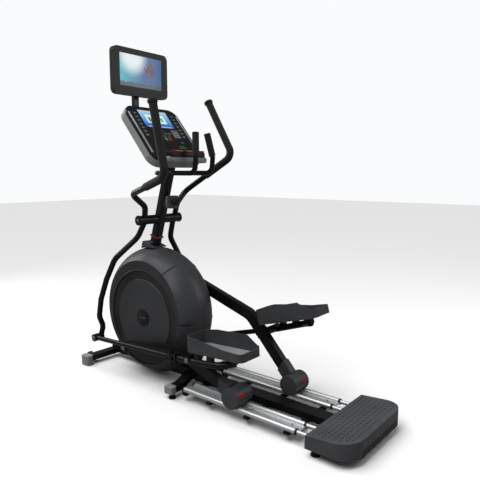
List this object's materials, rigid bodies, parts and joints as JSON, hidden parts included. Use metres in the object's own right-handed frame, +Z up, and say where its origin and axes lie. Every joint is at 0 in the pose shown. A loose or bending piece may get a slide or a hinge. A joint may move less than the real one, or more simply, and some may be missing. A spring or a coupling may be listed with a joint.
{
  "type": "elliptical trainer",
  "caption": "Front-drive elliptical trainer: roller arms on a rail track, swing handles, pedals, drive in a round shroud, console, drink holder and tilting screen.",
  "frame": {"origin": "floor level under the middle of the machine, at the centre of the bounding box base", "axes": "+X to the rear step where the user gets on, +Y to the user's right, +Z up"},
  "size_m": [2.14, 0.755, 2.101],
  "materials": {
    "black_paint": "semi-gloss powder coat",
    "charcoal_plastic": "satin moulded",
    "grey_plastic": "fine texture",
    "black_plastic": "satin moulded",
    "rubber": "matt",
    "foam": "closed-cell foam",
    "mat_rubber": "dimpled",
    "aluminium": "anodised",
    "steel": "zinc plated",
    "bearing_steel": "ground",
    "cast_iron": "machined",
    "circuit_board": "solder mask",
    "display": "lit screen behind clear plastic",
    "green_key": "moulded key",
    "red_key": "moulded key"
  },
  "bodies": {
    "frame": {"main_frame": "black_paint", "front_stabiliser": "black_paint", "stabiliser_caps": "grey_plastic", "levelling_feet": "rubber", "centre_beam": "black_paint", "left_rail": "aluminium", "right_rail": "aluminium", "rear_step": "charcoal_plastic", "mast": "black_paint", "handlebar": "black_paint", "bar_grips": "rubber", "console_back": "grey_plastic", "console_face": "black_plastic", "console_display": "display", "bottle_holder": "charcoal_plastic", "left_shroud": "charcoal_plastic", "right_shroud": "charcoal_plastic", "shroud_collar": "charcoal_plastic", "crank_bearings": "bearing_steel", "drive_belt": "rubber", "controller_board": "circuit_board", "power_inlet": "black_plastic", "frame_bolts": "steel", "tv_bracket": "black_paint"},
    "crank": {"crank_axle": "steel", "drive_pulley": "black_plastic", "left_crank_disc": "charcoal_plastic", "right_crank_disc": "charcoal_plastic"},
    "flywheel": {"flywheel": "cast_iron"},
    "idler": {"idler_pulley": "bearing_steel"},
    "screen": {"tv_case": "black_plastic", "tv_screen": "display"},
    "start_key": {"start_key": "green_key"},
    "stop_key": {"stop_key": "red_key"},
    "left_carriage": {"left_roller_axle": "steel"},
    "left_rollers": {"left_roller_wheels": "rubber"},
    "left_arm": {"left_roller_arm": "black_paint", "left_crank_pin": "steel", "left_roller_cover": "charcoal_plastic"},
    "left_pedal": {"left_link_rod": "black_paint", "left_link_pin": "black_paint", "left_pedal_arm": "black_paint", "left_pedal_tray": "charcoal_plastic", "left_pedal_mat": "mat_rubber"},
    "left_swing": {"left_swing_arm": "black_paint", "left_handle_grip": "foam"},
    "left_wheel": {"left_transport_wheel": "charcoal_plastic"},
    "right_carriage": {"right_roller_axle": "steel"},
    "right_rollers": {"right_roller_wheels": "rubber"},
    "right_arm": {"right_roller_arm": "black_paint", "right_crank_pin": "steel", "right_roller_cover": "charcoal_plastic"},
    "right_pedal": {"right_link_rod": "black_paint", "right_link_pin": "black_paint", "right_pedal_arm": "black_paint", "right_pedal_tray": "charcoal_plastic", "right_pedal_mat": "mat_rubber"},
    "right_swing": {"right_swing_arm": "black_paint", "right_handle_grip": "foam"},
    "right_wheel": {"right_transport_wheel": "charcoal_plastic"}
  },
  "joints": [
    {"name": "crank_turn", "type": "hinge", "parent": "frame", "child": "crank", "pos_m": [-0.502, 0, 0.402], "axis": [0, 1, 0], "continuous": true},
    {"name": "flywheel_turn", "type": "hinge", "parent": "frame", "child": "flywheel", "pos_m": [-0.4, 0, 0.64], "axis": [0, 1, 0], "continuous": true},
    {"name": "idler_turn", "type": "hinge", "parent": "frame", "child": "idler", "pos_m": [-0.34548, 0, 0.51069], "axis": [0, 1, 0], "continuous": true},
    {"name": "left_slide", "type": "slide", "parent": "frame", "child": "left_carriage", "axis": [1, 0, 0], "range_m": [0, 0.37002]},
    {"name": "left_roller_turn", "type": "hinge", "parent": "left_carriage", "child": "left_rollers", "pos_m": [0.31205, 0, 0.117], "axis": [0, 1, 0], "range_deg": [0, 579.31]},
    {"name": "left_arm_tilt", "type": "hinge", "parent": "left_carriage", "child": "left_arm", "pos_m": [0.31205, 0, 0.117], "axis": [0, 1, 0], "range_deg": [0, 9.18]},
    {"name": "left_pedal_tilt", "type": "hinge", "parent": "left_arm", "child": "left_pedal", "pos_m": [0.01723, 0, 0.27298], "axis": [0, 1, 0], "range_deg": [-17.51, 0]},
    {"name": "left_swing_turn", "type": "hinge", "parent": "frame", "child": "left_swing", "pos_m": [-0.491, 0, 1.031], "axis": [0, 1, 0], "range_deg": [-27.44, 0]},
    {"name": "right_slide", "type": "slide", "parent": "frame", "child": "right_carriage", "axis": [1, 0, 0], "range_m": [-0.31767, 0]},
    {"name": "right_roller_turn", "type": "hinge", "parent": "right_carriage", "child": "right_rollers", "pos_m": [0.4549, 0, 0.117], "axis": [0, 1, 0], "range_deg": [-496.56, 0]},
    {"name": "right_arm_tilt", "type": "hinge", "parent": "right_carriage", "child": "right_arm", "pos_m": [0.4549, 0, 0.117], "axis": [0, 1, 0], "range_deg": [-10.15, 0]},
    {"name": "right_pedal_tilt", "type": "hinge", "parent": "right_arm", "child": "right_pedal", "pos_m": [0.26622, 0, 0.39205], "axis": [0, 1, 0], "range_deg": [0, 21.89]},
    {"name": "right_swing_turn", "type": "hinge", "parent": "frame", "child": "right_swing", "pos_m": [-0.491, 0, 1.031], "axis": [0, 1, 0], "range_deg": [0, 27.2]},
    {"name": "left_wheel_turn", "type": "hinge", "parent": "frame", "child": "left_wheel", "pos_m": [-1.045, 0, 0.038], "axis": [0, 1, 0], "continuous": true},
    {"name": "right_wheel_turn", "type": "hinge", "parent": "frame", "child": "right_wheel", "pos_m": [-1.045, 0, 0.038], "axis": [0, 1, 0], "continuous": true},
    {"name": "screen_tilt", "type": "hinge", "parent": "frame", "child": "screen", "pos_m": [-0.7, 0, 1.957], "axis": [0, 1, 0], "range_deg": [-15, 6]},
    {"name": "start_press", "type": "slide", "parent": "frame", "child": "start_key", "axis": [-0.7593, 0, -0.6508], "range_m": [0, 0.001], "stiffness_N_per_m": 500, "springref_m": -0.001},
    {"name": "stop_press", "type": "slide", "parent": "frame", "child": "stop_key", "axis": [-0.7593, 0, -0.6508], "range_m": [0, 0.001], "stiffness_N_per_m": 500, "springref_m": -0.001}
  ],
  "couplings": [
    {"joint": "flywheel_turn", "follows": "crank_turn", "ratio": 4.3333},
    {"joint": "idler_turn", "follows": "crank_turn", "ratio": -5.9091},
    {"joint": "left_roller_turn", "follows": "left_slide", "rad_per_m": 27.322},
    {"joint": "left_arm_tilt", "follows": "left_slide", "rad_per_m": 0.43056},
    {"joint": "left_pedal_tilt", "follows": "left_slide", "rad_per_m": -0.82341},
    {"joint": "left_swing_turn", "follows": "left_slide", "rad_per_m": -1.2919},
    {"joint": "right_slide", "follows": "left_slide", "ratio": -0.85715},
    {"joint": "right_roller_turn", "follows": "left_slide", "rad_per_m": -23.419},
    {"joint": "right_arm_tilt", "follows": "left_slide", "rad_per_m": -0.47637},
    {"joint": "right_pedal_tilt", "follows": "left_slide", "rad_per_m": 1.0302},
    {"joint": "right_swing_turn", "follows": "left_slide", "rad_per_m": 1.2807}
  ]
}
